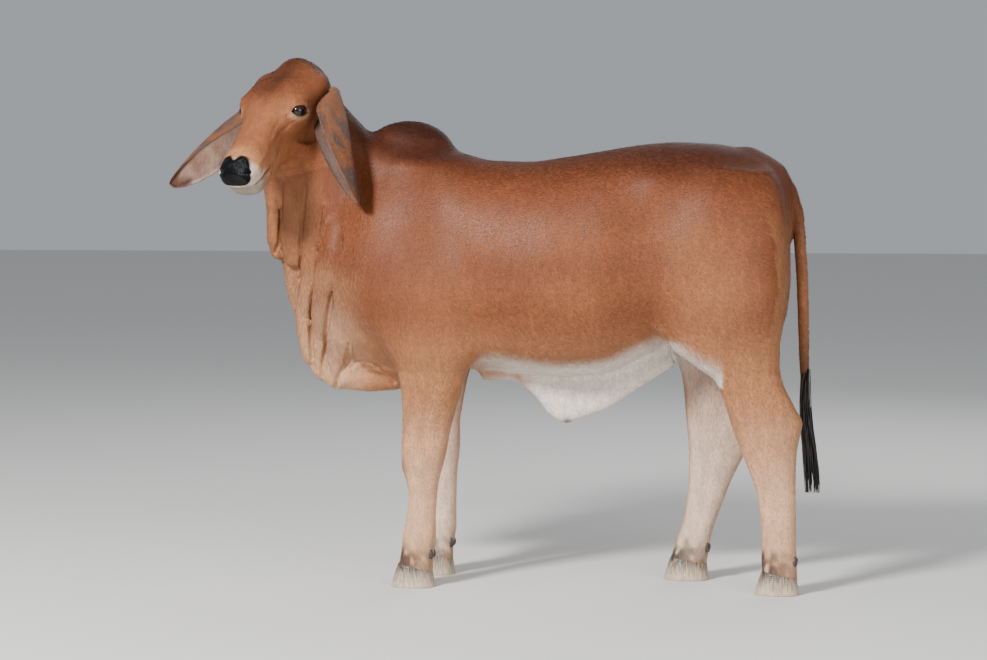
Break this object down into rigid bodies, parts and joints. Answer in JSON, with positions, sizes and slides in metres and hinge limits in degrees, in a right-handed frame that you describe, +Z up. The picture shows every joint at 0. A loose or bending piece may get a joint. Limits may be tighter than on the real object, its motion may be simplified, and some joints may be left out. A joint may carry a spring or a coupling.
{
  "type": "brahman heifer",
  "caption": "Still, life-size young Brahman heifer standing square with shoulder hump, loose dewlap, long drooping ears, navel flap and tasselled tail, head turned to its left.",
  "frame": {"origin": "on the floor, below the middle of the animal's bounding box", "axes": "+X from head to tail along the back, +Y to the animal's right side, +Z up"},
  "size_m": [1.8004, 0.6264, 1.4476],
  "materials": {
    "coat": "short flat red-brown hair, soft sheen on the flank",
    "pale_coat": "short cream-white hair of the belly, matt",
    "switch_hair": "long black hair in flat tapering locks",
    "hoof": "pale horn, slightly worn, satin",
    "dewclaw": "dark horn, satin",
    "eye": "wet and glossy, nearly black brown"
  },
  "bodies": {
    "root": {"foreleg_left_upper": "coat", "foreleg_left_lower": "coat", "foreleg_left_claw_outer": "hoof", "foreleg_left_dewclaw_outer": "dewclaw", "foreleg_left_claw_inner": "hoof", "foreleg_left_dewclaw_inner": "dewclaw", "foreleg_right_upper": "coat", "foreleg_right_lower": "coat", "foreleg_right_claw_inner": "hoof", "foreleg_right_dewclaw_inner": "dewclaw", "foreleg_right_claw_outer": "hoof", "foreleg_right_dewclaw_outer": "dewclaw", "hindleg_left_upper": "coat", "hindleg_left_lower": "coat", "hindleg_left_claw_outer": "hoof", "hindleg_left_dewclaw_outer": "dewclaw", "hindleg_left_claw_inner": "hoof", "hindleg_left_dewclaw_inner": "dewclaw", "hindleg_right_upper": "coat", "hindleg_right_lower": "coat", "hindleg_right_claw_inner": "hoof", "hindleg_right_dewclaw_inner": "dewclaw", "hindleg_right_claw_outer": "hoof", "hindleg_right_dewclaw_outer": "dewclaw", "head": "coat", "eye_left": "eye", "eye_right": "eye", "ear_left": "coat", "ear_right": "coat", "tail": "coat", "tail_switch": "switch_hair", "torso": "coat", "neck": "coat", "dewlap": "coat", "navel_flap": "pale_coat"}
  },
  "joints": []
}
